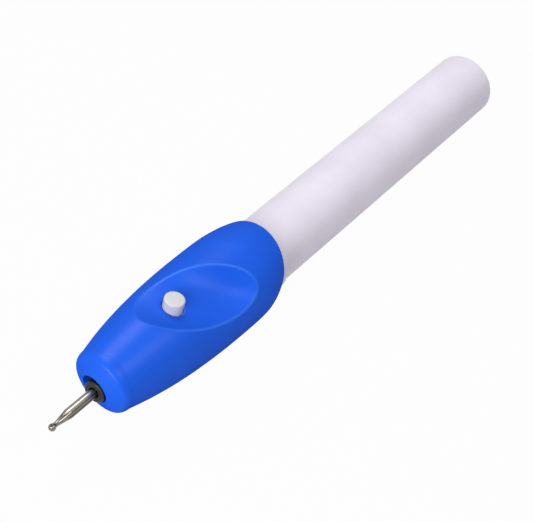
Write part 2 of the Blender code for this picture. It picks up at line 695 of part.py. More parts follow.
def make_armature(pen):
    """A three-pole iron core, a winding round each pole, and the commutator."""
    iron = material("LaminatedIron", (0.30, 0.30, 0.31), 0.5, 0.9)
    copper = material("Copper", (0.72, 0.30, 0.12), 0.35, 1.0)
    front = armature_front()
    rear = front + ARMATURE_LENGTH
    outer = rotor_radius()
    bore = SHAFT_RADIUS + PRESS_GAP
    hub = bore + HUB_WALL
    shoe = outer - POLE_TIP
    solid = bmesh.new()
    loop = []
    neck = POLE_NECK / 2
    root = math.sqrt(hub * hub - neck * neck)
    tip = shoe * math.tan(POLE_ANGLE / 2)
    for pole in range(POLE_COUNT):
        middle = math.tau * pole / POLE_COUNT
        turn = Matrix.Rotation(middle, 3, "X")
        loop += [turn @ Vector((front, *spot)) for spot in ((root, -neck), (shoe, -neck), (shoe, -tip))]
        loop += [polar(front, outer, middle + POLE_ANGLE * share) for share in np.linspace(-0.5, 0.5, 7)]
        loop += [turn @ Vector((front, *spot)) for spot in ((shoe, tip), (shoe, neck), (root, neck))]
        loop += [polar(front, hub, middle + math.pi / POLE_COUNT * share) for share in (0.6, 1.0, 1.4)]
    face = solid.faces.new([solid.verts.new(point) for point in loop])
    grown = bmesh.ops.extrude_face_region(solid, geom=[face])
    moved = [item for item in grown["geom"] if isinstance(item, bmesh.types.BMVert)]
    bmesh.ops.translate(solid, verts=moved, vec=(ARMATURE_LENGTH, 0, 0))
    bmesh.ops.triangulate(solid, faces=solid.faces)
    core = mesh_piece("armature_core", solid, iron, pen)
    combine(core, cylinder_cutter("CutArmature", front - OVERRUN, rear + OVERRUN, bore, pen, TINY_FACETS))
    coil_in = POLE_NECK / 2 + PRESS_GAP
    coil_out = coil_in + COIL_THICKNESS
    for pole in range(POLE_COUNT):
        angle = math.tau * pole / POLE_COUNT
        winding = block(f"winding_{pole + 1}", (front - PRESS_GAP - COIL_THICKNESS, hub + PRESS_GAP, -coil_out),
                        (rear + PRESS_GAP + COIL_THICKNESS, shoe - PRESS_GAP, coil_out), copper, pen)
        hollow = block(f"CutWinding{pole}", (front - PRESS_GAP, hub - OVERRUN, -coil_in),
                       (rear + PRESS_GAP, shoe + OVERRUN, coil_in), None, pen)
        winding.rotation_euler.x = angle
        hollow.rotation_euler.x = angle
        combine(winding, as_guide(hollow))
    start = rear + COIL_THICKNESS + 2 * PRESS_GAP
    outline = ((start, bore), (start, COMMUTATOR_RADIUS), (start + COMMUTATOR_LENGTH, COMMUTATOR_RADIUS),
               (start + COMMUTATOR_LENGTH, bore))
    turned("commutator", outline, copper, pen, SMALL_FACETS, closed=True)


def make_motor_shell(pen):
    """What stands still in the motor: can, magnets, bearings, end cap and brushes."""
    zinc = material("ZincedSteel", (0.60, 0.61, 0.62), 0.35, 1.0)
    inner = MOTOR_RADIUS - MOTOR_WALL
    hole = BEARING_RADIUS + PRESS_GAP
    wall_rear = MOTOR_FRONT + MOTOR_WALL
    outline = ((MOTOR_FRONT, hole), (MOTOR_FRONT, MOTOR_RADIUS), (MOTOR_REAR, MOTOR_RADIUS),
               (MOTOR_REAR, inner), (wall_rear, inner), (wall_rear, hole))
    turned("motor_can", outline, zinc, pen, MID_FACETS, closed=True)
    bronze = material("BearingBronze", (0.50, 0.34, 0.18), 0.45, 0.9)
    bore = SHAFT_RADIUS + PRESS_GAP
    flange_front = wall_rear + PRESS_GAP
    flange_rear = flange_front + BEARING_FLANGE_THICKNESS
    front_face = flange_rear - BEARING_LENGTH
    outline = ((front_face, bore), (front_face, BEARING_RADIUS), (flange_front, BEARING_RADIUS),
               (flange_front, BEARING_RADIUS + BEARING_FLANGE), (flange_rear, BEARING_RADIUS + BEARING_FLANGE),
               (flange_rear, bore))
    turned("front_bearing", outline, bronze, pen, SMALL_FACETS, closed=True)
    rear_face = CAP_REAR - PRESS_GAP
    outline = ((CAP_FRONT, bore), (CAP_FRONT, BEARING_RADIUS), (rear_face, BEARING_RADIUS), (rear_face, bore))
    turned("rear_bearing", outline, bronze, pen, SMALL_FACETS, closed=True)
    make_magnets(pen, inner)
    make_motor_cap(pen, inner)
    make_brushes(pen)


def make_magnets(pen, inner):
    """Two arc magnets, one on each side of the armature."""
    ferrite = material("Ferrite", (0.10, 0.10, 0.11), 0.6)
    outer = inner - PRESS_GAP
    front = armature_front() + (ARMATURE_LENGTH - MAGNET_LENGTH) / 2
    for name, middle in (("left_magnet", math.pi / 2), ("right_magnet", -math.pi / 2)):
        solid = bmesh.new()
        start = middle - MAGNET_ANGLE / 2
        corners = ((front, outer - MAGNET_THICKNESS), (front, outer), (front + MAGNET_LENGTH, outer),
                   (front + MAGNET_LENGTH, outer - MAGNET_THICKNESS))
        face = solid.faces.new([solid.verts.new(polar(station, radius, start)) for station, radius in corners])
        bmesh.ops.spin(solid, geom=[face], cent=(0, 0, 0), axis=(1, 0, 0), angle=MAGNET_ANGLE, steps=8)
        mesh_piece(name, solid, ferrite, pen)


def make_motor_cap(pen, inner):
    """The motor's end cap, with a seat for the rear bearing and slots for the terminals."""
    nylon = material("Nylon", (0.80, 0.79, 0.74), 0.5)
    hole = BEARING_RADIUS + PRESS_GAP
    spigot = inner - PRESS_GAP
    recess = spigot - MOTOR_WALL
    spigot_front = MOTOR_REAR - CAP_SPIGOT
    outline = ((CAP_FRONT, hole), (CAP_FRONT, recess), (spigot_front, recess), (spigot_front, spigot),
               (CAP_FRONT, spigot), (CAP_FRONT, MOTOR_RADIUS), (CAP_REAR, MOTOR_RADIUS), (CAP_REAR, hole))
    cap = turned("motor_end_cap", outline, nylon, pen, MID_FACETS, closed=True)
    half = BRUSH_THICKNESS / 2 + PRESS_GAP
    wide = BRUSH_WIDTH / 2 + PRESS_GAP
    for side in (-1, 1):
        middle = side * TERMINAL_OFFSET
        slot = block(f"CutSlot{side}", (CAP_FRONT - OVERRUN, middle - half, -wide),
                     (CAP_REAR + OVERRUN, middle + half, wide), None, pen)
        combine(cap, as_guide(slot))


def make_brushes(pen):
    """Two brush strips, each bent out from the commutator to its terminal."""
    phosphor = material("PhosphorBronze", (0.75, 0.50, 0.25), 0.35, 1.0)
    contact = COMMUTATOR_RADIUS + PRESS_GAP + BRUSH_THICKNESS / 2
    start = armature_front() + ARMATURE_LENGTH + COIL_THICKNESS + 2 * PRESS_GAP
    bend = CAP_FRONT - PRESS_GAP - BRUSH_THICKNESS / 2
    path = ((start, contact), (bend, contact), (bend, TERMINAL_OFFSET), (CAP_REAR + TERMINAL_TAIL, TERMINAL_OFFSET))
    for name, angle in (("left_brush", -math.pi / 2), ("right_brush", math.pi / 2)):
        brush = strip(name, path, BRUSH_THICKNESS, BRUSH_WIDTH, phosphor, pen)
        brush.rotation_euler.x = angle


def make_switch(pen):
    """The fixed half of the switch: a moulded base and two contact blades."""
    white = material("SwitchBase", (0.75, 0.75, 0.72), 0.5)
    brass = material("BladeBrass", (0.78, 0.60, 0.28), 0.3, 1.0)
    half = switch_half_width()
    base = block("switch_base", (SWITCH_FRONT, -half, SWITCH_FLOOR), (SWITCH_REAR, half, SWITCH_TOP), white, pen)
    below = SWITCH_TOP - SWITCH_THICKNESS / 2
    outline = ((below, SWITCH_RING_INNER), (below, SWITCH_RING_OUTER), (SWITCH_RING_TOP, SWITCH_RING_OUTER),
               (SWITCH_RING_TOP, SWITCH_RING_INNER))
    ring = as_guide(turned("JoinRing", outline, None, pen, SMALL_FACETS, upright=True, closed=True))
    ring.location.x = BUTTON
    combine(base, ring, "UNION")
    slot = BLADE_WIDTH / 2 + RUNNING_GAP
    groove = block("CutBladeSlot", (BUTTON - slot, -SWITCH_RING_OUTER - OVERRUN, SWITCH_TOP),
                   (BUTTON + slot, SWITCH_RING_OUTER + OVERRUN, SWITCH_RING_TOP + OVERRUN), None, pen)
    combine(base, as_guide(groove))
    for name, side in (("left_blade", 1), ("right_blade", -1)):
        ends = sorted((side * BLADE_INNER, side * BLADE_OUTER))
        block(name, (BUTTON - BLADE_WIDTH / 2, ends[0], BLADE_FLOOR),
              (BUTTON + BLADE_WIDTH / 2, ends[1], BLADE_TOP), brass, pen)


def dish_floor(station):
    """Radius of the dish's floor on the grip's top line, at one station."""
    back = station - NOSE - DISH_SETBACK
    arc = DISH_TURN * BELLY_RADIUS
    along = (back * math.cos(DISH_SLEW) - arc * math.sin(DISH_SLEW)) / DISH_HALF_LENGTH
    half_width = DISH_HALF_WIDTH * (1 - DISH_EGG_SHARE * along)
    across = (-back * math.sin(DISH_SLEW) - arc * math.cos(DISH_SLEW)) / half_width
    return side_radius(station) - dish_depth(math.hypot(along, across), along)


def make_button(pen):
    """The push button with its return spring and the contact disc on its stem."""
    holder = empty("ButtonAxis", (BUTTON, 0, 0), pen)
    white = material("ButtonWhite", (0.80, 0.78, 0.80), 0.35)
    brass = material("DiscBrass", (0.78, 0.60, 0.28), 0.3, 1.0)
    spring_steel = material("SpringSteel", (0.55, 0.55, 0.56), 0.3, 1.0)
    top = sculpt(Vector((BUTTON, 0, dish_floor(BUTTON)))).z + BUTTON_STAND
    flange = BUTTON_RADIUS + BUTTON_FLANGE
    outline = [(top, 0), (top, BUTTON_RADIUS - BUTTON_ROUND)]
    for share in (1 / 3, 2 / 3, 1):
        turn = share * math.pi / 2
        outline.append((top - BUTTON_ROUND * (1 - math.cos(turn)),
                        BUTTON_RADIUS - BUTTON_ROUND * (1 - math.sin(turn))))
    outline += [(FLANGE_TOP, BUTTON_RADIUS), (FLANGE_TOP, flange), (FLANGE_FLOOR, flange),
                (FLANGE_FLOOR, STEM_RADIUS), (STEM_FLOOR, STEM_RADIUS), (STEM_FLOOR, PIN_RADIUS),
                (DISC_FLOOR, PIN_RADIUS), (DISC_FLOOR, 0)]
    turned("push_button", outline, white, holder, MID_FACETS, upright=True)
    hole = PIN_RADIUS + PRESS_GAP
    outline = ((DISC_FLOOR, hole), (DISC_FLOOR, DISC_RADIUS), (DISC_TOP, DISC_RADIUS), (DISC_TOP, hole))
    turned("contact_disc", outline, brass, holder, SMALL_FACETS, upright=True, closed=True)
    low = SWITCH_RING_TOP + PRESS_GAP + BUTTON_SPRING_WIRE
    high = FLANGE_FLOOR - PRESS_GAP - BUTTON_SPRING_WIRE
    reach = (SWITCH_RING_INNER + SWITCH_RING_OUTER) / 2
    points = coil_points(low, high, reach, reach, BUTTON_SPRING_TURNS)
    tube_along("button_spring", points, BUTTON_SPRING_WIRE, spring_steel, holder, 1)


def coil_points(low, high, foot, head, turns):
    """Points up a coil about Z, its radius running from foot to head."""
    steps = int(round(turns * TINY_FACETS))
    points = []
    for step in range(steps + 1):
        share = step / steps
        radius = foot + (head - foot) * share
        turn = math.tau * step / TINY_FACETS
        points.append(Vector((radius * math.cos(turn), radius * math.sin(turn), low + (high - low) * share)))
    return points


def make_contact_carrier(pen):
    """The moulded disc behind the motor, with the two contacts that meet the battery."""
    black = material("CarrierBlack", (0.05, 0.05, 0.055), 0.5)
    plated = material("NickelPlate", (0.70, 0.68, 0.62), 0.25, 1.0)
    radius = SOCKET_RADIUS - SEAT_GAP
    outline = ((CARRIER_FRONT, 0), (CARRIER_FRONT, radius), (CARRIER_REAR, radius), (CARRIER_REAR, 0))
    carrier = turned("contact_carrier", outline, black, pen, MID_FACETS)
    foot_front = CARRIER_FRONT - CARRIER_FOOT
    for side in (-1, 1):
        edges = sorted((side * MOTOR_RADIUS, side * (MOTOR_RADIUS - CARRIER_FOOT_DEPTH)))
        foot = block(f"JoinFoot{side}", (foot_front, -CARRIER_FOOT_WIDTH / 2, edges[0]),
                     (CARRIER_FRONT + CARRIER_THICKNESS / 2, CARRIER_FOOT_WIDTH / 2, edges[1]), None, pen)
        combine(carrier, as_guide(foot), "UNION")
    for name, spot in (("CutRedHole", red_hole()), ("CutBlackHole", black_hole())):
        hole = cylinder_cutter(name, CARRIER_FRONT - OVERRUN, CARRIER_REAR + OVERRUN,
                               WIRE_RADIUS + WIRE_HOLE, pen, TINY_FACETS)
        hole.location = (0, spot.y, spot.z)
        combine(carrier, hole)
    outer = TUBE_RADIUS
    inner = outer - CONTACT_RING_WIDTH
    outline = ((RING_FRONT, inner), (RING_FRONT, outer), (RING_REAR, outer), (RING_REAR, inner))
    turned("contact_ring", outline, plated, pen, MID_FACETS, closed=True)
    tip = RING_REAR + CENTRE_CONTACT_RISE
    outline = ((RING_FRONT, 0), (RING_FRONT, CENTRE_CONTACT_RADIUS), (RING_REAR, CENTRE_CONTACT_RADIUS),
               (RING_REAR, CENTRE_CONTACT_BOSS + CENTRE_CONTACT_RISE), (tip, CENTRE_CONTACT_BOSS), (tip, 0))
    turned("centre_contact", outline, plated, pen, SMALL_FACETS)


def red_hole():
    """Where the red wire passes the carrier, in front of the centre contact."""
    return polar(CARRIER_FRONT, CENTRE_CONTACT_RADIUS - WIRE_RADIUS, math.radians(-38))


def black_hole():
    """Where the black wire passes the carrier, in front of the contact ring."""
    return polar(CARRIER_FRONT, TUBE_RADIUS - CONTACT_RING_WIDTH + WIRE_RADIUS / 3, math.radians(20))


def make_wires(pen):
    """Three leads: battery to switch, switch to motor, and motor back to the battery."""
    lane = (CAP_REAR + CARRIER_FRONT) / 2 + PRESS_GAP
    ahead = BUTTON + BLADE_WIDTH / 2 + SEAT_GAP
    shelf = SWITCH_TOP + WIRE_RADIUS + PRESS_GAP
    post = math.sqrt(WIRE_LANE ** 2 - shelf ** 2) - WIRE_RADIUS
    climb = MOTOR_FRONT + 3 * WIRE_RADIUS
    behind = CARRIER_REAR - PRESS_GAP / 2
    low = math.radians(-17)
    red = material("RedSleeve", (0.65, 0.03, 0.02), 0.45)
    blue = material("BlueSleeve", (0.03, 0.08, 0.45), 0.45)
    dark = material("BlackSleeve", (0.02, 0.02, 0.02), 0.45)
    start = red_hole()
    side = polar(lane, WIRE_LANE, low)
    lower_run = [polar(lane - 4 * WIRE_RADIUS, WIRE_LANE, low), polar(MOTOR_REAR, WIRE_LANE, low),
                 polar((MOTOR_FRONT + MOTOR_REAR) / 2, WIRE_LANE, low),
                 polar(climb + 8 * WIRE_RADIUS, WIRE_LANE, low / 2),
                 polar(climb + 3 * WIRE_RADIUS, WIRE_LANE, math.radians(12))]
    upper_run = [Vector((climb, post + WIRE_RADIUS / 2, shelf)),
                 Vector((SWITCH_REAR - 2 * WIRE_RADIUS, post, shelf)),
                 Vector((ahead + 2 * WIRE_RADIUS, post, shelf)), Vector((ahead, post, shelf))]
    entry = [Vector((behind, start.y, start.z)), Vector((CARRIER_FRONT, start.y, start.z)),
             Vector((lane, start.y + WIRE_RADIUS, start.z)),
             Vector((lane, (start.y + side.y) / 2 + WIRE_RADIUS, (start.z + side.z) / 2)),
             Vector((lane - WIRE_RADIUS, side.y - WIRE_RADIUS / 3, side.z))]
    tube_along("red_wire", smooth_route(entry + lower_run + upper_run, WIRE_STEP), WIRE_RADIUS, red, pen)
    tab = TERMINAL_OFFSET + BRUSH_THICKNESS / 2 + SEAT_GAP
    mirror = Matrix.Diagonal((1, -1, 1))
    finish = [Vector((lane - WIRE_RADIUS, side.y - WIRE_RADIUS / 3, side.z)),
              Vector((lane, (tab + side.y) / 2, side.z / 3)), Vector((lane, tab, 0))]
    route = [mirror @ point for point in finish[::-1] + lower_run + upper_run]
    tube_along("blue_wire", smooth_route(route, WIRE_STEP), WIRE_RADIUS, blue, pen)
    start = black_hole()
    route = [Vector((behind, start.y, start.z)), Vector((CARRIER_FRONT, start.y, start.z)),
             Vector((lane, start.y - WIRE_RADIUS, start.z / 2)), Vector((lane, tab, 0))]
    tube_along("black_wire", smooth_route(route, WIRE_STEP), WIRE_RADIUS, dark, pen)


def make_cells(pen):
    """Two round cells, nose to tail, with their raised contacts towards the motor."""
    look = material("CellSleeve", (0.20, 0.22, 0.24), 0.35, 0.2)
    for name, front in (("front_cell", CELL_FRONT), ("rear_cell", SECOND_CELL)):
        body = front + CELL_NUB
        rear = front + CELL_LENGTH
        outline = ((front, 0), (front, CELL_NUB_RADIUS), (body, CELL_NUB_RADIUS),
                   (body, CELL_RADIUS - CELL_ROUND), (body + CELL_ROUND, CELL_RADIUS),
                   (rear - CELL_ROUND, CELL_RADIUS), (rear, CELL_RADIUS - CELL_ROUND), (rear, 0))
        turned(name, outline, look, pen, MID_FACETS)


def make_tube(pen):
    """The pale battery tube, its screw ridge, its contact strip and its spring."""
    pale = material("PalePlastic", (0.80, 0.76, 0.83), 0.35)
    collar = COLLAR_RADIUS - COLLAR_CHAMFER
    outline = [(MOUTH, TUBE_BORE), (MOUTH, TUBE_RADIUS), (COLLAR_FRONT, TUBE_RADIUS),
               (COLLAR_FRONT, COLLAR_RADIUS), (COLLAR_REAR - COLLAR_CHAMFER, COLLAR_RADIUS),
               (COLLAR_REAR, collar), (COLLAR_REAR, TUBE_RADIUS)]
    for share in np.linspace(0, 1, 4):
        turn = share * math.pi / 2
        outline.append((TAIL - TUBE_END_ROUND * (1 - math.sin(turn)),
                        TUBE_RADIUS - TUBE_END_ROUND * (1 - math.cos(turn))))
    outline += [(TAIL, 0), (TUBE_FLOOR, 0), (TUBE_FLOOR, TUBE_BORE)]
    tube = turned("battery_tube", outline, pale, pen, BIG_FACETS, closed=True, edge_down=True)
    ridge = helix_ridge("JoinRidge", thread_start(), THREAD_TURNS, TUBE_RADIUS - THREAD_ROOT,
                        TUBE_RADIUS + THREAD_HEIGHT, THREAD_BASE, THREAD_TIP, pen)
    combine(tube, ridge, "UNION")
    seat = STRIP_THICKNESS + PRESS_GAP
    lane = TUBE_BORE - PRESS_GAP - STRIP_THICKNESS / 2
    half = STRIP_WIDTH / 2 + PRESS_GAP
    groove = block("CutStripGroove", (MOUTH - OVERRUN, -half, -lane - seat), (TUBE_FLOOR, half, 0), None, pen)
    combine(tube, as_guide(groove))
    plated = material("StripSteel", (0.66, 0.65, 0.62), 0.3, 1.0)
    fold = TAB_FRONT + STRIP_THICKNESS / 2
    floor = TUBE_FLOOR - PRESS_GAP - STRIP_THICKNESS / 2
    path = ((fold, -TUBE_RADIUS + PRESS_GAP), (fold, -lane), (floor, -lane), (floor, -lane + STRIP_FOLD))
    strip("contact_strip", path, STRIP_THICKNESS, STRIP_WIDTH, plated, pen)
    low = TUBE_FLOOR - STRIP_THICKNESS - 2 * PRESS_GAP - TUBE_SPRING_WIRE
    high = CELLS_REAR + PRESS_GAP + TUBE_SPRING_WIRE
    points = coil_points(low, high, TUBE_SPRING_FOOT, TUBE_SPRING_HEAD, TUBE_SPRING_TURNS)
    lengthwise = [Vector((point.z, point.y, point.x)) for point in points]
    tube_along("battery_spring", lengthwise, TUBE_SPRING_WIRE, plated, pen, 1)


def build():
    """Clear the scene and make the pen."""
    for old in list(bpy.data.objects):
        bpy.data.objects.remove(old, do_unlink=True)
    pen = empty("PenAxis", (-TAIL / 2, 0, AXIS_HEIGHT))
    make_grip(pen)
    make_bush(pen)
    make_bit(pen)
    make_spindle(pen)
    make_motor_shell(pen)
    make_switch(pen)
    make_button(pen)
    make_contact_carrier(pen)
    make_wires(pen)
    make_cells(pen)
    make_tube(pen)


build()
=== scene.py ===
"""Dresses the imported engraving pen: fine outer skins, procedural materials, studio light and camera.

Lengths along the pen are stations, measured from the bit's tip; radii are from the pen's axis, and
heights too, unless a line says otherwise. Angles about the axis run from +Y towards +Z.
"""
import json
import math

import bmesh
import bpy
import numpy as np
from mathutils import Matrix, Vector


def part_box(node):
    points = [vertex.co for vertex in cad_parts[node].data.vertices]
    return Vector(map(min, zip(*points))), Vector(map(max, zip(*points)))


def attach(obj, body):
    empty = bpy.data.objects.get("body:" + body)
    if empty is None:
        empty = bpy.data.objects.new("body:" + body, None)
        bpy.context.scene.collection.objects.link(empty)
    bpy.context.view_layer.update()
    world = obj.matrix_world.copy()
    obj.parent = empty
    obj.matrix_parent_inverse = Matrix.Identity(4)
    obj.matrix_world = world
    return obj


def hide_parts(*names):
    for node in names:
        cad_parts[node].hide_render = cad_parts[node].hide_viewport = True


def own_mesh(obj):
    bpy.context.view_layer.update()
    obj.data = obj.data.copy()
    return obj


MM = 0.001
LENGTH = 175.0 * MM
HALF = LENGTH / 2
MERGE = 1e-7

# The grip's outer shape, as the CAD has it
NOSE = 15.0 * MM
NOSE_CONE = 1.95 * MM
NOSE_CORNER = 2.55 * MM
NOSE_RADIUS = 7.97 * MM
CORNER_SHARE = 0.8
CORNER_POINTS = 15
OPENING = 3.475 * MM
OPENING_EDGE = 0.25 * MM
GRIP_REAR = 72.0 * MM
BELLY = 59.7 * MM
BELLY_RADIUS = 11.72 * MM
FRONT_POWER = 2.53
REAR_POWER = 2.9
RIM_RADIUS = 9.9 * MM
RIM_ROUND = 0.3 * MM
RIM_EASE = 0.2 * MM
RIM_CHAMFER = 0.15 * MM

# The slant of its nose and of its rear rim, and the nose's shift to one side
NOSE_LEAD = 1.5 * MM
NOSE_SIDE_LEAD = 0.9 * MM
NOSE_REACH = 11.0 * MM
REAR_LEAD = 2.4 * MM
REAR_SIDE_LEAD = 0.85 * MM
REAR_REACH = 6.0 * MM
SHIFT = 0.5 * MM
SHIFT_REACH = 54.0 * MM

# The thumb dish
DISH_STATION = 45.2 * MM
DISH_LENGTH = 16.4 * MM
DISH_WIDTH = 8.1 * MM
DISH_DEPTH = 3.2 * MM
DISH_POWER = 3
DISH_TURN = math.radians(16.9)
DISH_SLEW = math.radians(26.2)
DISH_LEAN = 0.3
DISH_LEAN_LEAST = 0.3
DISH_EGG = 0.133
DISH_EGG_LEAST = 0.4
DISH_EDGE = 0.14 * MM

# Painted highlight: a paler colour along convex edges such as the dish's rim, starting behind the nose
EDGE_HIGHLIGHT_START = 22.0 * MM
EDGE_HIGHLIGHT_FADE = 3 * MM
EDGE_HIGHLIGHT_RANGE = (0.508, 0.560)

# How finely the grip's skin is cut, along the pen and round it
SIDE_STEP = 0.7 * MM
DISH_ZONE = (28 * MM, 63 * MM, 0.28 * MM)
HOLE_ZONE = 3.3 * MM
HOLE_STEP = 0.16 * MM
RIM_ZONE = 6.2 * MM
RIM_STEP = 0.4 * MM
SIDE_TURN = 1.1 / 11.0
DISH_ARC = 0.95
DISH_TURN_STEP = 0.30 / 11.0
HOLE_ARC = 3.2 * MM / (9.4 * MM)
HOLE_TURN_STEP = 0.16 / 9.4

# The push button and its spring, with heights above the pen's axis
BUTTON = 39.6 * MM
BUTTON_HOLE = 2.65 * MM
HOLE_EDGE = 0.35 * MM
HOLE_DROP = 0.14 * MM
HOLE_PLUG = (5.5 * MM, 14 * MM)
BUTTON_RADIUS = 2.4 * MM
BUTTON_ROUND = 0.35 * MM
BUTTON_DOME = (1.2 * MM, 0.01 * MM, 0.03 * MM)
FLANGE_RADIUS = 3.5 * MM
FLANGE = (6.85 * MM, 6.2 * MM)
BOSS_RADIUS = 1.3 * MM
BOSS_FLOOR = 5.575 * MM
STEM_RADIUS = 0.65 * MM
STEM_FLOOR = 5.075 * MM
SPRING_TURNS = 2.5
SPRING_WIRE = 0.175 * MM
SPRING_RINGS = 121

# Inside the grip
COUNTERBORE = 9.45 * MM
COUNTERBORE_FRONT = 68.55 * MM
SOCKET = 8.8 * MM
SOCKET_FRONT = 60.85 * MM
CAVITY = 8.1 * MM
CEILING = 7.1 * MM
CAVITY_FRONT = 30.6 * MM
POCKET = 6.275 * MM
POCKET_FRONT = 26.1 * MM
SEAT = 4.675 * MM
SEAT_FRONT = 18.9 * MM

# The battery tube
TUBE_RADIUS = 8.5 * MM
TUBE_BORE = 7.5 * MM
TUBE_CHAMFER = 0.15 * MM
TUBE_FACETS = 128
TUBE_RINGS = 12
TUBE_RINGS_START = 8 * MM
MOUTH = 63.35 * MM
COLLAR_FRONT = 68.85 * MM
COLLAR_REAR = 74.95 * MM
COLLAR_RADIUS = 9.05 * MM
COLLAR_ROUND = 0.35 * MM
COLLAR_FILLET = (0.08 * MM, 0.06 * MM)
TUBE_FLOOR = 173.0 * MM
END_ROUND = 0.7 * MM

# The screw ridge on the tube, and the room for it in the grip's groove
PITCH = 3.0 * MM
SCREW_STEPS = 48
RIDGE_START = 64.85 * MM
RIDGE_RADIUS = 9.1 * MM
RIDGE_TURN = math.radians(3.75)
RIDGE_WIDTHS = (1.2 * MM, 0.7 * MM)
RIDGE_ROOT = 0.2 * MM
GROOVE_TURNS = 2.25
GROOVE_WIDTHS = (1.8 * MM, 1.3 * MM)
GROOVE_ROOM = 0.3 * MM

# The chuck, with a fine ring in its face
CHUCK_FRONT = 14.2 * MM
CHUCK_REAR = 42.2 * MM
CHUCK_RADIUS = 2.625 * MM
CHUCK_ROUND = 0.6 * MM
CHUCK_BORE = 1.30 * MM
CHUCK_MOUTH = (0.12 * MM, 1.42 * MM)
CHUCK_GROOVE = 0.05 * MM
CHUCK_GROOVE_RADII = (1.84 * MM, 1.88 * MM, 1.94 * MM, 1.98 * MM)
SHAFT_BORE = 1.15 * MM
SHAFT_END = 34.5 * MM

# The bit
BALL = 0.86 * MM
NECK = 0.62 * MM
NECK_SHAPE = ((0.25 * MM, 0.96), (1.0 * MM, 0.98), (1.25 * MM, 1.06))
SHANK = 1.175 * MM
SHANK_START = 4.5 * MM
SHANK_SHAPE = ((-0.2 * MM, 1.13 * MM), (0, 1.17 * MM), (0.3 * MM, SHANK))
BIT_END = 34.2 * MM
BIT_CHAMFER = 0.3 * MM

# Studio
CAMERA_BACK = (-0.6726, -0.2898, 0.6809)
CAMERA_RIGHT = (0.5656, -0.7947, 0.2205)
CAMERA_PLACE = (-0.2812, -0.1185, 0.2726)
FOCAL_PIXELS = 1700
PHOTO_WIDTH = 533
SENSOR_WIDTH = 36
LIGHT_DISTANCE = 0.70
AMBIENT = (0.93, 0.95, 1.0, 1)
AMBIENT_STRENGTH = 0.19
FLOOR_RADIUS = 2.5
FLOOR_DROP = 0.2 * MM
FLOOR_GREY = (0.62, 0.62, 0.62, 1)
FLOOR_GLOW = 0.965
WHITE = (1, 1, 1, 1)

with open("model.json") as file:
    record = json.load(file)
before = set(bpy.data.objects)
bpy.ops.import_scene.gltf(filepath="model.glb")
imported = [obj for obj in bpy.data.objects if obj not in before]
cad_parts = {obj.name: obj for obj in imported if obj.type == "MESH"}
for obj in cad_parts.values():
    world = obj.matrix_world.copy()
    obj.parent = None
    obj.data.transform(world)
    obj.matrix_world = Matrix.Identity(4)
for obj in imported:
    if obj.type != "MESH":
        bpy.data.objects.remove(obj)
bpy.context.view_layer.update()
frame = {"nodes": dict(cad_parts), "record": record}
AXIS = (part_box("battery_tube")[0].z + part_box("battery_tube")[1].z) / 2


def polar(station, radius, angle):
    """A point in the row frame at one station, radius and angle about the pen's axis."""
    return Vector((station - HALF, radius * math.cos(angle), AXIS + radius * math.sin(angle)))


# Shapes

def grip_radius(station):
    """Radius of the grip's side before the dish is pressed in."""
    start = NOSE + NOSE_CONE + NOSE_CORNER
    if station <= BELLY:
        share = min(max((station - start) / (BELLY - start), 0), 1)
        return BELLY_RADIUS - (BELLY_RADIUS - NOSE_RADIUS) * (1 - share) ** FRONT_POWER
    share = min((station - BELLY) / (GRIP_REAR - BELLY), 1)
    return BELLY_RADIUS - (BELLY_RADIUS - RIM_RADIUS) * share ** REAR_POWER


def dish_depth(station, angle):
    """How deep the dish is at one place of the side, with its edge rounded over."""
    back = station - DISH_STATION
    arc_length = (angle - math.pi / 2 - DISH_TURN) * BELLY_RADIUS
    along = (back * math.cos(DISH_SLEW) + arc_length * math.sin(DISH_SLEW)) / DISH_LENGTH
    across = (arc_length * math.cos(DISH_SLEW) - back * math.sin(DISH_SLEW)) / DISH_WIDTH
    across /= max(1 - DISH_EGG * along, DISH_EGG_LEAST)
    reach = math.hypot(along, across)
    depth = DISH_DEPTH * (1 - reach ** DISH_POWER) * max(1 + DISH_LEAN * along, DISH_LEAN_LEAST)
    return (depth + math.hypot(depth, DISH_EDGE)) / 2


def leaned(station, across, height):
    """The station of a point once the nose's and the rear rim's slant is added."""
    nose = max(0, 1 - (station - NOSE) / NOSE_REACH)
    rim = max(0, 1 - (GRIP_REAR - station) / REAR_REACH)
    lean = REAR_LEAD * rim / RIM_RADIUS - NOSE_LEAD * nose / NOSE_RADIUS
    side_lean = REAR_SIDE_LEAD * rim / RIM_RADIUS + NOSE_SIDE_LEAD * nose / NOSE_RADIUS
    return station + lean * height + side_lean * across


def shifted(station):
    """How far the grip's rings stand to one side of the pen's axis, most at the nose."""
    return SHIFT * max(0, 1 - (station - NOSE) / SHIFT_REACH)


def sculpt(station, radius, angle):
    """A point of the grip's outside: the front is shifted, the nose and the rear rim lean."""
    across, height = radius * math.cos(angle), radius * math.sin(angle)
    point = polar(leaned(station, across, height), radius, angle)
    point.y += shifted(station)
    return point


def spaced(low, high, coarse, zones):
    """Places from low to high at a coarse step, finer inside each zone of (low, high, step)."""
    places = [low]
    while places[-1] < high:
        steps = [step for start, end, step in zones if start <= places[-1] < end] + [coarse]
        places.append(places[-1] + min(steps))
    if high - places[-2] < (places[-1] - places[-2]) / 2:
        places.pop()
    places[-1] = high
    return places


def corner_outline():
    """The rounded corner between the nose's face and its side."""
    left = 1 - CORNER_SHARE
    end = (NOSE + NOSE_CONE, OPENING + (NOSE_RADIUS - OPENING) * CORNER_SHARE)
    knee = (NOSE + NOSE_CONE + NOSE_CORNER * left, NOSE_RADIUS * (1 - left ** 3))
    side = (NOSE + NOSE_CONE + NOSE_CORNER, NOSE_RADIUS)
    points = []
    for share in np.linspace(0, 1, CORNER_POINTS):
        weights = ((1 - share) ** 2, 2 * share * (1 - share), share ** 2)
        points.append(tuple(sum(w * p[k] for w, p in zip(weights, (end, knee, side))) for k in (0, 1)))
    return points


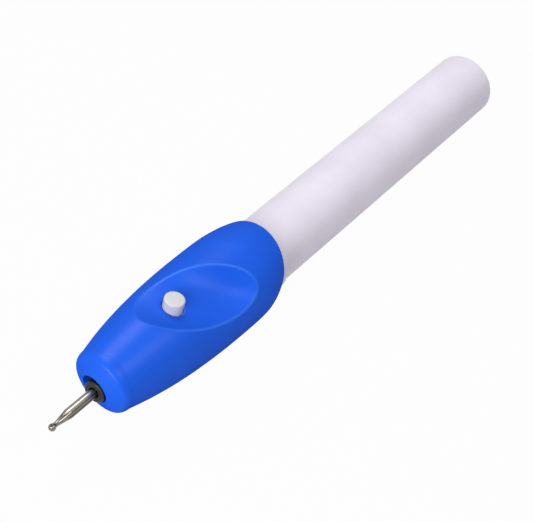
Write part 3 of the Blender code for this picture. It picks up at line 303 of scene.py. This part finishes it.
def face_point(across, height):
    """The point of the nose's sloping face at one place seen along the pen's axis."""
    wide = (NOSE_RADIUS - OPENING) * CORNER_SHARE
    station = NOSE
    for _ in range(5):
        own = math.hypot(across - shifted(station), height)
        station = NOSE + NOSE_CONE * (own - OPENING) / wide
    return Vector((leaned(station, across - shifted(station), height) - HALF, across, AXIS + height))


def side_point(station, angle):
    """A point of the dished side, eased over the edge of the button's hole."""
    radius = grip_radius(station) - dish_depth(station, angle)
    away = math.hypot(station - BUTTON, radius * math.cos(angle) + shifted(station))
    if math.sin(angle) > 0 and away < BUTTON_HOLE + HOLE_EDGE:
        share = min((BUTTON_HOLE + HOLE_EDGE - away) / HOLE_EDGE, 1)
        radius -= HOLE_DROP * share ** 2
    return sculpt(station, radius, angle)


def capped(station, radius, angle):
    """A point of the cavity's wall, with its flat ceiling under the switch."""
    point = polar(station, radius, angle)
    point.z = min(point.z, AXIS + CEILING)
    return point


def offset(station, radius, angle):
    """A point of the nose's opening, which stands to one side like the nose."""
    point = polar(station, radius, angle)
    point.y += SHIFT
    return point


def nose_rings(angles, inner):
    """The nose's face, from the opening's edge out, and the rounded corner round it."""
    corner = corner_outline()
    outer = [sculpt(*corner[0], angle) for angle in angles]
    rings = []
    for share in np.linspace(0, 1, 7)[:-1]:
        places = [first.lerp(last, share) for first, last in zip(inner, outer)]
        rings.append([face_point(place.y, place.z - AXIS) for place in places])
    for station, radius in corner[:-1]:
        rings.append([sculpt(station, radius, angle) for angle in angles])
    return rings


def side_rings(angles):
    """The dished side, and the rear rim rounded over into the counterbore."""
    zones = [DISH_ZONE, (BUTTON - HOLE_ZONE, BUTTON + HOLE_ZONE, HOLE_STEP),
             (GRIP_REAR - RIM_ZONE, GRIP_REAR, RIM_STEP)]
    stations = spaced(corner_outline()[-1][0], GRIP_REAR - RIM_ROUND, SIDE_STEP, zones)
    rings = [[side_point(station, angle) for angle in angles] for station in stations]
    for turn in np.linspace(0, math.pi / 2, 5)[1:]:
        station = GRIP_REAR - RIM_ROUND * (1 - math.sin(turn))
        radius = RIM_RADIUS - RIM_EASE * (1 - math.cos(turn))
        rings.append([sculpt(station, radius, angle) for angle in angles])
    rings.append([sculpt(GRIP_REAR, COUNTERBORE + RIM_CHAMFER, angle) for angle in angles])
    rings.append([sculpt(GRIP_REAR - RIM_CHAMFER, COUNTERBORE, angle) for angle in angles])
    return rings


def inside_rings(angles):
    """The bores behind one another, from the counterbore forward to the opening."""
    steps = ((COUNTERBORE_FRONT, COUNTERBORE, polar), (COUNTERBORE_FRONT, SOCKET, polar),
             (SOCKET_FRONT, SOCKET, polar), (SOCKET_FRONT, CAVITY, capped),
             (CAVITY_FRONT, CAVITY, capped), (CAVITY_FRONT, POCKET, polar),
             (POCKET_FRONT, POCKET, polar), (POCKET_FRONT, SEAT, polar),
             (SEAT_FRONT, SEAT, polar), (SEAT_FRONT, OPENING, offset))
    return [[place(station, radius, angle) for angle in angles] for station, radius, place in steps]


def opening_rings(angles, inner):
    """The opening's rounded edge, which ends where the nose's face starts."""
    rings = []
    for turn in (0, math.pi / 6, math.pi / 3):
        ring = [offset(NOSE, OPENING + OPENING_EDGE * (1 - math.cos(turn)), angle) for angle in angles]
        for point, rim in zip(ring, inner):
            point.x = face_point(rim.y, rim.z - AXIS).x + OPENING_EDGE * (1 - math.sin(turn))
        rings.append(ring)
    return rings


def grip_rings(angles):
    """Rings of points that go once round the grip's wall: outside, rim, inside and back to the nose."""
    inner = [offset(NOSE, OPENING + OPENING_EDGE, angle) for angle in angles]
    return (nose_rings(angles, inner) + side_rings(angles) + inside_rings(angles)
            + opening_rings(angles, inner))


def bridge(solid, first, second):
    """Join two rows of vertices, each closed on itself, with four-sided faces."""
    count = len(first)
    for index in range(count):
        after = (index + 1) % count
        solid.faces.new((first[index], first[after], second[after], second[index]))


def finish_mesh(name, solid):
    """Make a smooth-sided object from a bmesh."""
    bmesh.ops.remove_doubles(solid, verts=solid.verts, dist=MERGE)
    bmesh.ops.recalc_face_normals(solid, faces=solid.faces)
    mesh = bpy.data.meshes.new(name)
    solid.to_mesh(mesh)
    solid.free()
    mesh.shade_smooth()
    piece = bpy.data.objects.new(name, mesh)
    bpy.context.scene.collection.objects.link(piece)
    return piece


def solid_from_rings(name, rings, closed=True):
    """A mesh through rings of equal length; closed means the last ring joins the first."""
    solid = bmesh.new()
    rows = [[solid.verts.new(point) for point in ring] for ring in rings]
    pairs = list(zip(rows, rows[1:]))
    if closed:
        pairs.append((rows[-1], rows[0]))
    else:
        solid.faces.new(rows[0])
        solid.faces.new(rows[-1])
    for first, second in pairs:
        bridge(solid, first, second)
    return finish_mesh(name, solid)


def lathe(name, outline, facets, upright=None):
    """Turn an outline of (station, radius) about the pen's axis, or of (height, radius) upright.

    An outline whose two ends stand off the axis is closed; runs along the axis get no edge.
    """
    solid = bmesh.new()
    if upright is None:
        points = [polar(along, radius, 0) for along, radius in outline]
        centre, axis = polar(0, 0, 0), Vector((1, 0, 0))
    else:
        points = [Vector((upright - HALF + radius, 0, AXIS + along)) for along, radius in outline]
        centre, axis = Vector((upright - HALF, 0, 0)), Vector((0, 0, 1))
    verts = [solid.verts.new(point) for point in points]
    edges = []
    for index in range(len(verts) - 1):
        if outline[index][1] or outline[index + 1][1]:
            edges.append(solid.edges.new((verts[index], verts[index + 1])))
    if outline[0][1] and outline[-1][1]:
        edges.append(solid.edges.new((verts[-1], verts[0])))
    bmesh.ops.spin(solid, geom=verts + edges, cent=centre, axis=axis, angle=math.tau, steps=facets,
                   use_merge=True)
    return finish_mesh(name, solid)


def ridge(name, start, turns, radii, widths, first_angle):
    """A right-handed screw ridge about the pen's axis, from its root to its crest."""
    solid = bmesh.new()
    (inner, outer), (base, tip) = radii, widths
    section = ((-base / 2, inner), (-tip / 2, outer), (tip / 2, outer), (base / 2, inner))
    rows = []
    for step in range(int(SCREW_STEPS * turns) + 1):
        station = start + PITCH * step / SCREW_STEPS
        angle = first_angle + math.tau * step / SCREW_STEPS
        rows.append([solid.verts.new(polar(station + along, radius, angle)) for along, radius in section])
    for first, second in zip(rows, rows[1:]):
        bridge(solid, first, second)
    solid.faces.new(rows[0])
    solid.faces.new(list(reversed(rows[-1])))
    bmesh.ops.triangulate(solid, faces=solid.faces)
    return finish_mesh(name, solid)


def combine(piece, other, operation):
    """Cut or join another solid at once, and drop it."""
    boolean = piece.modifiers.new(operation.title(), "BOOLEAN")
    boolean.operation = operation
    boolean.solver = "EXACT"
    boolean.object = other
    bpy.context.view_layer.update()
    graph = bpy.context.evaluated_depsgraph_get()
    mesh = bpy.data.meshes.new_from_object(piece.evaluated_get(graph))
    piece.modifiers.clear()
    piece.data = mesh
    bpy.data.objects.remove(other, do_unlink=True)


def sharpen(piece, degrees):
    """Smooth sides with sharp corners past an angle."""
    piece.data.shade_smooth()
    piece.data.set_sharp_from_angle(angle=math.radians(degrees))


def arc(low, high, steps):
    """Angles from low to high, in degrees given and radians returned."""
    return [math.radians(low + (high - low) * step / steps) for step in range(steps + 1)]


# Materials

def node(tree, kind, **inputs):
    """Add a node and set its sockets by name."""
    made = tree.nodes.new(kind)
    for name, value in inputs.items():
        made.inputs[name.replace("_", " ")].default_value = value
    return made


def range_node(tree, value, **limits):
    """Map a value from one range to another."""
    made = node(tree, "ShaderNodeMapRange", **limits)
    tree.links.new(value, made.inputs["Value"])
    return made.outputs["Result"]


def math_node(tree, operation, first, second):
    """Join two values by one operation."""
    made = tree.nodes.new("ShaderNodeMath")
    made.operation = operation
    for index, value in enumerate((first, second)):
        if isinstance(value, float):
            made.inputs[index].default_value = value
        else:
            tree.links.new(value, made.inputs[index])
    return made.outputs[0]


def mix_shaders(tree, share, first, second):
    """Mix two shaders by a share, a number or a socket."""
    made = tree.nodes.new("ShaderNodeMixShader")
    if isinstance(share, float):
        made.inputs[0].default_value = share
    else:
        tree.links.new(share, made.inputs[0])
    tree.links.new(first, made.inputs[1])
    tree.links.new(second, made.inputs[2])
    return made.outputs[0]


def mottle(tree, noise, colour, vary):
    """A colour that wanders with a noise, a little on most finishes; on the bit it paints reflections as
    strong streaks.
    """
    ramp = tree.nodes.new("ShaderNodeValToRGB")
    darker, lighter = ramp.color_ramp.elements
    darker.position = 0.36
    darker.color = (*(c * (1 - vary) for c in colour), 1)
    lighter.position = 0.64
    lighter.color = (*(min(c * (1 + vary / 2), 1) for c in colour), 1)
    tree.links.new(noise, ramp.inputs["Fac"])
    return ramp.outputs["Color"]


def paint_edge_highlight(tree, place, colour, edge_highlight_colour):
    """Paint a highlight along the convex edges behind the nose by turning the colour paler there."""
    edges = tree.nodes.new("ShaderNodeNewGeometry")
    edge_highlight_mask = range_node(tree, edges.outputs["Pointiness"], From_Min=EDGE_HIGHLIGHT_RANGE[0], From_Max=EDGE_HIGHLIGHT_RANGE[1])
    parts = tree.nodes.new("ShaderNodeSeparateXYZ")
    tree.links.new(place, parts.inputs[0])
    start = EDGE_HIGHLIGHT_START - HALF
    behind = range_node(tree, parts.outputs["X"], From_Min=start, From_Max=start + EDGE_HIGHLIGHT_FADE)
    paler = tree.nodes.new("ShaderNodeMix")
    paler.data_type = "RGBA"
    tree.links.new(math_node(tree, "MULTIPLY", edge_highlight_mask, behind), paler.inputs["Factor"])
    tree.links.new(colour, paler.inputs[6])
    paler.inputs[7].default_value = (*edge_highlight_colour, 1)
    return paler.outputs[2]


def surface(name, colour, roughness, metallic=0.0, vary=0.06, grain=900.0, bump=0.02, rough_vary=0.08,
            stretch=(1, 1, 1), specular=0.5, sheen=0.0, depth=0.0002, edge_highlight_colour=None):
    """A Principled material with mottled colour, uneven roughness and a fine bump.

    A sheen adds an even share of plain gloss, for the soft bands on moulded plastic, and the
    last argument is a paler colour painted along convex edges as a highlight.
    """
    made = bpy.data.materials.new(name)
    made.use_nodes = True
    tree = made.node_tree
    tree.nodes.clear()
    out = tree.nodes.new("ShaderNodeOutputMaterial")
    shader = node(tree, "ShaderNodeBsdfPrincipled", Metallic=metallic, Specular_IOR_Level=specular)
    place = tree.nodes.new("ShaderNodeTexCoord").outputs["Object"]
    scale = node(tree, "ShaderNodeMapping", Scale=stretch)
    tree.links.new(place, scale.inputs["Vector"])
    broad = node(tree, "ShaderNodeTexNoise", Scale=70.0, Detail=4.0, Roughness=0.55)
    fine = node(tree, "ShaderNodeTexNoise", Scale=grain, Detail=5.0, Roughness=0.6)
    for noise in (broad, fine):
        tree.links.new(scale.outputs["Vector"], noise.inputs["Vector"])
    tint = mottle(tree, broad.outputs["Fac"], colour, vary)
    if edge_highlight_colour is not None:
        tint = paint_edge_highlight(tree, place, tint, edge_highlight_colour)
    tree.links.new(tint, shader.inputs["Base Color"])
    spread = range_node(tree, fine.outputs["Fac"], From_Min=0.3, From_Max=0.7,
                        To_Min=max(roughness - rough_vary, 0.03), To_Max=roughness + rough_vary)
    relief = node(tree, "ShaderNodeBump", Strength=bump, Distance=depth)
    tree.links.new(fine.outputs["Fac"], relief.inputs["Height"])
    layers = [shader]
    if sheen:
        layers.append(node(tree, "ShaderNodeBsdfGlossy", Color=WHITE))
    for layer in layers:
        tree.links.new(spread, layer.inputs["Roughness"])
        tree.links.new(relief.outputs["Normal"], layer.inputs["Normal"])
    shaded = layers[0].outputs["BSDF"]
    if sheen:
        shaded = mix_shaders(tree, sheen, shaded, layers[1].outputs["BSDF"])
    tree.links.new(shaded, out.inputs["Surface"])
    return made


FINISHES = {
    # The blue's paler edge colour is a painted highlight along the dish's rim and other convex edges.
    "blue_plastic": dict(colour=(0.008, 0.112, 0.79), roughness=0.40, vary=0.05, grain=2600.0, bump=0.05,
                         rough_vary=0.04, specular=0.0, sheen=0.018, depth=0.00005,
                         edge_highlight_colour=(0.045, 0.235, 0.92)),
    "pale_plastic": dict(colour=(0.86, 0.81, 0.92), roughness=0.46, vary=0.05, grain=2200.0, bump=0.05,
                         rough_vary=0.05, specular=0.3, depth=0.00005),
    "white_plastic": dict(colour=(0.66, 0.65, 0.68), roughness=0.42, vary=0.03, grain=2600.0, bump=0.04,
                          rough_vary=0.05, specular=0.4, depth=0.00005),
    "black_plastic": dict(colour=(0.012, 0.011, 0.013), roughness=0.45, vary=0.2, grain=3000.0, bump=0.15,
                          specular=0.35, depth=0.00005),
    "natural_nylon": dict(colour=(0.74, 0.72, 0.66), roughness=0.5, vary=0.05),
    "red_sleeve": dict(colour=(0.55, 0.02, 0.015), roughness=0.45, vary=0.1),
    "blue_sleeve": dict(colour=(0.02, 0.05, 0.35), roughness=0.45, vary=0.1),
    "black_sleeve": dict(colour=(0.02, 0.02, 0.02), roughness=0.45, vary=0.2),
    # The bit's strong lengthwise colour streaks are painted reflections of dark surroundings.
    "tool_steel": dict(colour=(0.41, 0.375, 0.32), roughness=0.24, metallic=1.0, vary=0.85, grain=240.0,
                       bump=0.10, rough_vary=0.08, stretch=(0.10, 14, 14), depth=0.00003),
    "spring_steel": dict(colour=(0.50, 0.50, 0.51), roughness=0.3, metallic=1.0, vary=0.1),
    "plated_steel": dict(colour=(0.62, 0.61, 0.58), roughness=0.28, metallic=1.0, vary=0.08),
    "laminated_iron": dict(colour=(0.28, 0.28, 0.29), roughness=0.5, metallic=0.9, vary=0.2, grain=1500.0,
                           bump=0.3, stretch=(6, 0.3, 0.3)),
    "ferrite": dict(colour=(0.08, 0.08, 0.09), roughness=0.6, vary=0.2, bump=0.2),
    "bronze": dict(colour=(0.46, 0.31, 0.16), roughness=0.45, metallic=0.9, vary=0.15, bump=0.2),
    "brass": dict(colour=(0.72, 0.54, 0.24), roughness=0.3, metallic=1.0, vary=0.1),
    "copper": dict(colour=(0.68, 0.28, 0.12), roughness=0.35, metallic=1.0, vary=0.12, grain=1500.0,
                   bump=0.5, stretch=(0.2, 5, 5)),
    "cell_sleeve": dict(colour=(0.17, 0.19, 0.21), roughness=0.35, metallic=0.2, vary=0.08),
}


def make_looks():
    """One material for each finish in the record."""
    return {name: surface(name, **finish) for name, finish in FINISHES.items()}


def paint(piece, look):
    """Give a piece one material."""
    piece.data.materials.clear()
    piece.data.materials.append(look)


def dress_cad(looks):
    """Give every CAD node the material of its slot."""
    for part in frame["record"]["subparts"]:
        paint(frame["nodes"][part["node"]], looks[part["material_slot"]])


def adopt(piece, body, nodes, look):
    """Make a skin ride on its body, stand for its CAD nodes and take its finish."""
    paint(piece, look)
    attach(piece, body)
    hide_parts(*nodes)


# The visible pieces

def make_grip(looks):
    """The blue grip with its dish, the button's hole and the screw groove."""
    top = math.pi / 2
    dish = top + DISH_TURN
    zones = [(dish - DISH_ARC, dish + DISH_ARC, DISH_TURN_STEP),
             (top - HOLE_ARC, top + HOLE_ARC, HOLE_TURN_STEP)]
    angles = spaced(-top, 3 * top, SIDE_TURN, zones)[:-1]
    grip = solid_from_rings("grip_shell", grip_rings(angles))
    low, high = HOLE_PLUG
    plug = lathe("plug", [(low, 0), (low, BUTTON_HOLE), (high, BUTTON_HOLE), (high, 0)], 96, BUTTON)
    combine(grip, plug, "DIFFERENCE")
    groove = ridge("groove", RIDGE_START - PITCH / 4, GROOVE_TURNS,
                   (SOCKET - GROOVE_ROOM, RIDGE_RADIUS + GROOVE_ROOM), GROOVE_WIDTHS, RIDGE_TURN - top)
    combine(grip, groove, "DIFFERENCE")
    sharpen(grip, 38)
    adopt(grip, "grip", ["grip_housing"], looks["blue_plastic"])


def make_tube(looks):
    """The pale battery tube with its collar, its screw ridge and its rounded end."""
    outline = [(MOUTH, TUBE_BORE), (MOUTH, TUBE_RADIUS - TUBE_CHAMFER), (MOUTH + TUBE_CHAMFER, TUBE_RADIUS),
               (COLLAR_FRONT, TUBE_RADIUS), (COLLAR_FRONT, COLLAR_RADIUS)]
    for turn in arc(0, 90, 6):
        outline.append((COLLAR_REAR - COLLAR_ROUND * (1 - math.sin(turn)),
                        COLLAR_RADIUS - COLLAR_ROUND * (1 - math.cos(turn))))
    outline.append((COLLAR_REAR, TUBE_RADIUS + COLLAR_FILLET[1]))
    outline.append((COLLAR_REAR + COLLAR_FILLET[0], TUBE_RADIUS))
    for station in np.linspace(COLLAR_REAR + TUBE_RINGS_START, LENGTH - END_ROUND, TUBE_RINGS)[:-1]:
        outline.append((station, TUBE_RADIUS))
    for turn in arc(0, 90, 10):
        outline.append((LENGTH - END_ROUND * (1 - math.sin(turn)),
                        TUBE_RADIUS - END_ROUND * (1 - math.cos(turn))))
    outline += [(LENGTH, TUBE_RADIUS / 2), (LENGTH, 0), (TUBE_FLOOR, 0), (TUBE_FLOOR, TUBE_BORE)]
    tube = lathe("tube_shell", outline, TUBE_FACETS)
    thread = ridge("ridge", RIDGE_START, 1, (TUBE_RADIUS - RIDGE_ROOT, RIDGE_RADIUS), RIDGE_WIDTHS,
                   RIDGE_TURN)
    combine(tube, thread, "UNION")
    sharpen(tube, 40)
    adopt(tube, "tube", ["battery_tube"], looks["pale_plastic"])


def make_chuck(looks):
    """The black chuck: a rounded front, a fine ring in its face and a bore for the bit."""
    depth, mouth = CHUCK_MOUTH
    ring_depths = (0, CHUCK_GROOVE, CHUCK_GROOVE, 0)
    outline = [(CHUCK_FRONT + depth, CHUCK_BORE), (CHUCK_FRONT, mouth)]
    outline += [(CHUCK_FRONT + deep, radius) for deep, radius in zip(ring_depths, CHUCK_GROOVE_RADII)]
    for turn in arc(0, 90, 8)[1:]:
        outline.append((CHUCK_FRONT + CHUCK_ROUND * (1 - math.cos(turn)),
                        CHUCK_RADIUS - CHUCK_ROUND * (1 - math.sin(turn))))
    outline += [(CHUCK_REAR, CHUCK_RADIUS), (CHUCK_REAR, SHAFT_BORE), (SHAFT_END, SHAFT_BORE),
                (SHAFT_END, CHUCK_BORE)]
    chuck = lathe("chuck_body", outline, 64)
    sharpen(chuck, 35)
    adopt(chuck, "spindle", ["bit_chuck"], looks["black_plastic"])


def make_bit(looks):
    """The steel bit: a ball, a neck, a taper and a ground shank."""
    last = math.degrees(math.pi - math.asin(NECK / BALL))
    outline = [(BALL * (1 - math.cos(turn)), BALL * math.sin(turn)) for turn in arc(0, last, 22)]
    start = outline[-1][0]
    outline += [(start + along, NECK * share) for along, share in NECK_SHAPE]
    outline += [(start + SHANK_START + along, radius) for along, radius in SHANK_SHAPE]
    outline += [(BIT_END - BIT_CHAMFER, SHANK), (BIT_END, SHANK - BIT_CHAMFER), (BIT_END, 0)]
    bit = lathe("bit_tool", outline, 48)
    sharpen(bit, 40)
    adopt(bit, "bit", ["engraving_bit"], looks["tool_steel"])


def make_button(looks):
    """The off-white button with its rounded top, its flange and its stem."""
    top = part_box("push_button")[1].z - AXIS
    middle, middle_drop, edge_drop = BUTTON_DOME
    outline = [(top, 0), (top - middle_drop, middle)]
    for turn in arc(0, 90, 8):
        outline.append((top - edge_drop - BUTTON_ROUND * (1 - math.cos(turn)),
                        BUTTON_RADIUS - BUTTON_ROUND * (1 - math.sin(turn))))
    outline += [(FLANGE[0], BUTTON_RADIUS), (FLANGE[0], FLANGE_RADIUS), (FLANGE[1], FLANGE_RADIUS),
                (FLANGE[1], BOSS_RADIUS), (BOSS_FLOOR, BOSS_RADIUS), (BOSS_FLOOR, STEM_RADIUS),
                (STEM_FLOOR, STEM_RADIUS), (STEM_FLOOR, 0)]
    button = lathe("button_cap", outline, 64, BUTTON)
    sharpen(button, 35)
    adopt(button, "button", ["push_button"], looks["white_plastic"])


def make_spring(looks):
    """The button's return spring: a coil that rides with the button and does not shorten as it goes down.
    """
    low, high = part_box("button_spring")
    reach = (high.x - low.x) / 2 - SPRING_WIRE
    middle = (low.x + high.x) / 2
    rise = high.z - low.z - 2 * SPRING_WIRE
    up = Vector((0, 0, 1))
    rings = []
    for share in np.linspace(0, 1, SPRING_RINGS):
        turn = math.tau * SPRING_TURNS * share
        out = Vector((math.cos(turn), math.sin(turn), 0))
        centre = Vector((middle, 0, low.z + SPRING_WIRE + rise * share)) + out * reach
        rings.append([centre + out * SPRING_WIRE * math.cos(side) + up * (SPRING_WIRE * math.sin(side))
                      for side in arc(0, 330, 11)])
    spring = solid_from_rings("return_spring", rings, closed=False)
    sharpen(spring, 50)
    adopt(spring, "button", ["button_spring"], looks["spring_steel"])
    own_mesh(spring)


# Studio

def make_camera():
    """The camera at the photograph's viewing angle."""
    data = bpy.data.cameras.new("camera")
    data.sensor_width = SENSOR_WIDTH
    data.lens = FOCAL_PIXELS * SENSOR_WIDTH / PHOTO_WIDTH
    camera = bpy.data.objects.new("camera", data)
    bpy.context.scene.collection.objects.link(camera)
    back = Vector(CAMERA_BACK).normalized()
    right = Vector(CAMERA_RIGHT).normalized()
    up = back.cross(right).normalized()
    right = up.cross(back)
    turn = Matrix((right, up, back)).transposed().to_4x4()
    turn.translation = Vector(CAMERA_PLACE) + Vector((0, 0, AXIS))
    camera.matrix_world = turn
    bpy.context.scene.camera = camera


def area_light(name, direction, size, power, colour=(1, 1, 1)):
    """A square soft light that looks at the pen."""
    data = bpy.data.lights.new(name, "AREA")
    data.shape = "RECTANGLE"
    data.size, data.size_y = size, size
    data.energy = power
    data.color = colour
    lamp = bpy.data.objects.new(name, data)
    bpy.context.scene.collection.objects.link(lamp)
    away = Vector(direction).normalized()
    lamp.location = away * LIGHT_DISTANCE + Vector((0, 0, AXIS))
    lamp.rotation_euler = away.to_track_quat("Z", "Y").to_euler()


def ray_mask(tree):
    """A value that is 1 for camera, glossy and transmission rays."""
    path = tree.nodes.new("ShaderNodeLightPath")
    total = path.outputs["Is Camera Ray"]
    for ray in ("Is Glossy Ray", "Is Transmission Ray"):
        total = math_node(tree, "MAXIMUM", total, path.outputs[ray])
    return total


def make_world():
    """Soft ambient light, white to the camera."""
    world = bpy.data.worlds.new("studio")
    bpy.context.scene.world = world
    world.use_nodes = True
    tree = world.node_tree
    tree.nodes.clear()
    out = tree.nodes.new("ShaderNodeOutputWorld")
    ambient = node(tree, "ShaderNodeBackground", Color=AMBIENT, Strength=AMBIENT_STRENGTH)
    white = node(tree, "ShaderNodeBackground", Color=WHITE, Strength=1.0)
    shaded = mix_shaders(tree, ray_mask(tree), ambient.outputs[0], white.outputs[0])
    tree.links.new(shaded, out.inputs["Surface"])


def make_floor():
    """A plain pale floor that shows white and keeps a faint shadow."""
    solid = bmesh.new()
    bmesh.ops.create_circle(solid, cap_ends=True, segments=96, radius=FLOOR_RADIUS)
    floor = finish_mesh("floor", solid)
    look = bpy.data.materials.new("floor")
    look.use_nodes = True
    tree = look.node_tree
    tree.nodes.clear()
    out = tree.nodes.new("ShaderNodeOutputMaterial")
    matt = node(tree, "ShaderNodeBsdfDiffuse", Color=FLOOR_GREY)
    glow = node(tree, "ShaderNodeEmission", Color=WHITE, Strength=1.0)
    share = math_node(tree, "MULTIPLY", ray_mask(tree), FLOOR_GLOW)
    tree.links.new(mix_shaders(tree, share, matt.outputs[0], glow.outputs[0]), out.inputs["Surface"])
    floor.data.materials.append(look)
    floor.location.z = -FLOOR_DROP


def main():
    """Build the whole scene."""
    make_camera()
    looks = make_looks()
    dress_cad(looks)
    make_grip(looks)
    make_tube(looks)
    make_chuck(looks)
    make_bit(looks)
    make_button(looks)
    make_spring(looks)
    make_world()
    make_floor()
    area_light("key", (0.28, 0.46, 0.85), 0.30, 2.15)
    area_light("side", (0.14, -0.53, 0.80), 0.22, 0.95, (1.0, 0.97, 1.0))
    area_light("front", (-0.90, -0.05, 0.43), 0.35, 3.6)
    scene = bpy.context.scene
    scene.view_settings.view_transform = "Standard"


main()
